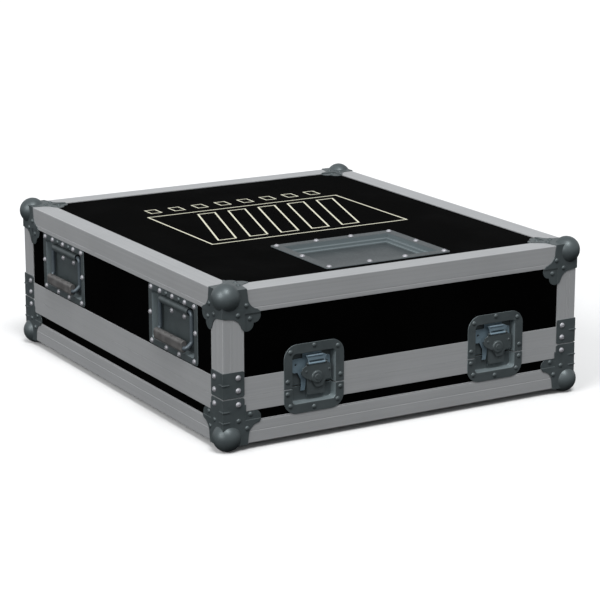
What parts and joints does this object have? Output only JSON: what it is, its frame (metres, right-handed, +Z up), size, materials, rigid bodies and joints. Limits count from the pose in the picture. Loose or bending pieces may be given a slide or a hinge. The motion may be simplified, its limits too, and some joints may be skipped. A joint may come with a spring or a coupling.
{
  "type": "flight case with lift-off lid",
  "caption": "Flight case with black panels, aluminium edges, ball corners, recessed butterfly latches, sprung handles and a lift-off lid",
  "frame": {"origin": "centre of the case on the surface that its four lower ball corners stand on", "axes": "+X to the right seen from the front, +Y to the back, +Z up; the two front latches face -Y"},
  "size_m": [0.6602, 0.7454, 0.2568],
  "materials": {
    "laminated_plywood": "black phenolic laminate on birch plywood, satin",
    "aluminium_edge": "mill finish extrusion, fine lengthwise grain",
    "hardware_steel": "dark zinc plate, satin",
    "zinc_blue": "blue zinc plate",
    "bail_zinc": "dark zinc plate on round rod",
    "dish_zinc": "clear zinc plate, satin",
    "rivet_nickel": "bright zinc rivets",
    "grip_rubber": "moulded rubber"
  },
  "bodies": {
    "base": {"base_back_panel": "laminated_plywood", "base_ball_corners": "hardware_steel", "base_bottom_panel": "laminated_plywood", "base_bright_rivets": "rivet_nickel", "base_closing_long": "aluminium_edge", "base_closing_short": "aluminium_edge", "base_corner_angles": "aluminium_edge", "base_edges_long": "aluminium_edge", "base_edges_short": "aluminium_edge", "base_front_panel": "laminated_plywood", "base_left_panel": "laminated_plywood", "base_right_panel": "laminated_plywood", "base_rivets": "hardware_steel", "latch_keeper_dishes": "hardware_steel"},
    "lid": {"lid_back_panel": "laminated_plywood", "lid_ball_corners": "hardware_steel", "lid_bright_rivets": "rivet_nickel", "lid_closing_long": "aluminium_edge", "lid_closing_short": "aluminium_edge", "lid_corner_angles": "aluminium_edge", "lid_corner_braces": "hardware_steel", "lid_edges_long": "aluminium_edge", "lid_edges_short": "aluminium_edge", "lid_front_panel": "laminated_plywood", "lid_left_panel": "laminated_plywood", "lid_right_panel": "laminated_plywood", "lid_rivets": "hardware_steel", "lid_top_panel": "laminated_plywood", "label_dish": "dish_zinc", "latch_base_plates": "zinc_blue", "handle_hinge_covers": "hardware_steel", "handle_springs": "bail_zinc", "latch_dish_front_left": "hardware_steel", "latch_dish_front_right": "hardware_steel", "latch_dish_back_left": "hardware_steel", "latch_dish_back_right": "hardware_steel", "handle_dish_left_front": "hardware_steel", "handle_dish_left_back": "hardware_steel", "handle_dish_right_front": "hardware_steel", "handle_dish_right_back": "hardware_steel"},
    "latch_turn_front_left": {"latch_rotor_front_left": "hardware_steel"},
    "wing_front_left": {"latch_wing_front_left": "zinc_blue"},
    "hook_front_left": {"latch_hook_front_left": "hardware_steel"},
    "latch_turn_front_right": {"latch_rotor_front_right": "hardware_steel"},
    "wing_front_right": {"latch_wing_front_right": "zinc_blue"},
    "hook_front_right": {"latch_hook_front_right": "hardware_steel"},
    "latch_turn_back_left": {"latch_rotor_back_left": "hardware_steel"},
    "wing_back_left": {"latch_wing_back_left": "zinc_blue"},
    "hook_back_left": {"latch_hook_back_left": "hardware_steel"},
    "latch_turn_back_right": {"latch_rotor_back_right": "hardware_steel"},
    "wing_back_right": {"latch_wing_back_right": "zinc_blue"},
    "hook_back_right": {"latch_hook_back_right": "hardware_steel"},
    "handle_left_front": {"handle_bail_left_front": "bail_zinc", "handle_grip_left_front": "grip_rubber"},
    "handle_left_back": {"handle_bail_left_back": "bail_zinc", "handle_grip_left_back": "grip_rubber"},
    "handle_right_front": {"handle_bail_right_front": "bail_zinc", "handle_grip_right_front": "grip_rubber"},
    "handle_right_back": {"handle_bail_right_back": "bail_zinc", "handle_grip_right_back": "grip_rubber"}
  },
  "joints": [
    {"name": "lid_lift", "type": "slide", "parent": "base", "child": "lid", "axis": [0, 0, 1], "range_m": [0, 0.3]},
    {"name": "latch_turn_front_left", "type": "hinge", "parent": "lid", "child": "latch_turn_front_left", "pos_m": [-0.1588, -0.3595, 0.0958], "axis": [0, -1, 0], "range_deg": [0, 120]},
    {"name": "wing_fold_front_left", "type": "hinge", "parent": "latch_turn_front_left", "child": "wing_front_left", "pos_m": [-0.1588, -0.3602, 0.1177], "axis": [1, 0, 0], "range_deg": [0, 90]},
    {"name": "hook_pull_front_left", "type": "slide", "parent": "lid", "child": "hook_front_left", "axis": [0, 0, -1], "range_m": [0, 0.0048]},
    {"name": "latch_turn_front_right", "type": "hinge", "parent": "lid", "child": "latch_turn_front_right", "pos_m": [0.1718, -0.3595, 0.0958], "axis": [0, -1, 0], "range_deg": [0, 120]},
    {"name": "wing_fold_front_right", "type": "hinge", "parent": "latch_turn_front_right", "child": "wing_front_right", "pos_m": [0.1718, -0.3602, 0.1177], "axis": [1, 0, 0], "range_deg": [0, 90]},
    {"name": "hook_pull_front_right", "type": "slide", "parent": "lid", "child": "hook_front_right", "axis": [0, 0, -1], "range_m": [0, 0.0048]},
    {"name": "latch_turn_back_left", "type": "hinge", "parent": "lid", "child": "latch_turn_back_left", "pos_m": [-0.1718, 0.3595, 0.0958], "axis": [0, 1, 0], "range_deg": [0, 120]},
    {"name": "wing_fold_back_left", "type": "hinge", "parent": "latch_turn_back_left", "child": "wing_back_left", "pos_m": [-0.1718, 0.3602, 0.1177], "axis": [-1, 0, 0], "range_deg": [0, 90]},
    {"name": "hook_pull_back_left", "type": "slide", "parent": "lid", "child": "hook_back_left", "axis": [0, 0, -1], "range_m": [0, 0.0048]},
    {"name": "latch_turn_back_right", "type": "hinge", "parent": "lid", "child": "latch_turn_back_right", "pos_m": [0.1588, 0.3595, 0.0958], "axis": [0, 1, 0], "range_deg": [0, 120]},
    {"name": "wing_fold_back_right", "type": "hinge", "parent": "latch_turn_back_right", "child": "wing_back_right", "pos_m": [0.1588, 0.3602, 0.1177], "axis": [-1, 0, 0], "range_deg": [0, 90]},
    {"name": "hook_pull_back_right", "type": "slide", "parent": "lid", "child": "hook_back_right", "axis": [0, 0, -1], "range_m": [0, 0.0048]},
    {"name": "handle_swing_left_front", "type": "hinge", "parent": "lid", "child": "handle_left_front", "pos_m": [-0.314, -0.201, 0.191], "axis": [0, 1, 0], "range_deg": [0, 90], "stiffness_Nm_per_rad": 0.15, "springref_deg": -11.46},
    {"name": "handle_swing_left_back", "type": "hinge", "parent": "lid", "child": "handle_left_back", "pos_m": [-0.314, 0.201, 0.191], "axis": [0, 1, 0], "range_deg": [0, 90], "stiffness_Nm_per_rad": 0.15, "springref_deg": -11.46},
    {"name": "handle_swing_right_front", "type": "hinge", "parent": "lid", "child": "handle_right_front", "pos_m": [0.314, -0.201, 0.191], "axis": [0, -1, 0], "range_deg": [0, 90], "stiffness_Nm_per_rad": 0.15, "springref_deg": -11.46},
    {"name": "handle_swing_right_back", "type": "hinge", "parent": "lid", "child": "handle_right_back", "pos_m": [0.314, 0.201, 0.191], "axis": [0, -1, 0], "range_deg": [0, 90], "stiffness_Nm_per_rad": 0.15, "springref_deg": -11.46}
  ],
  "couplings": [
    {"joint": "hook_pull_front_left", "follows": "latch_turn_front_left", "m_per_rad": 0.0022898},
    {"joint": "hook_pull_front_right", "follows": "latch_turn_front_right", "m_per_rad": 0.0022898},
    {"joint": "hook_pull_back_left", "follows": "latch_turn_back_left", "m_per_rad": 0.0022898},
    {"joint": "hook_pull_back_right", "follows": "latch_turn_back_right", "m_per_rad": 0.0022898}
  ]
}
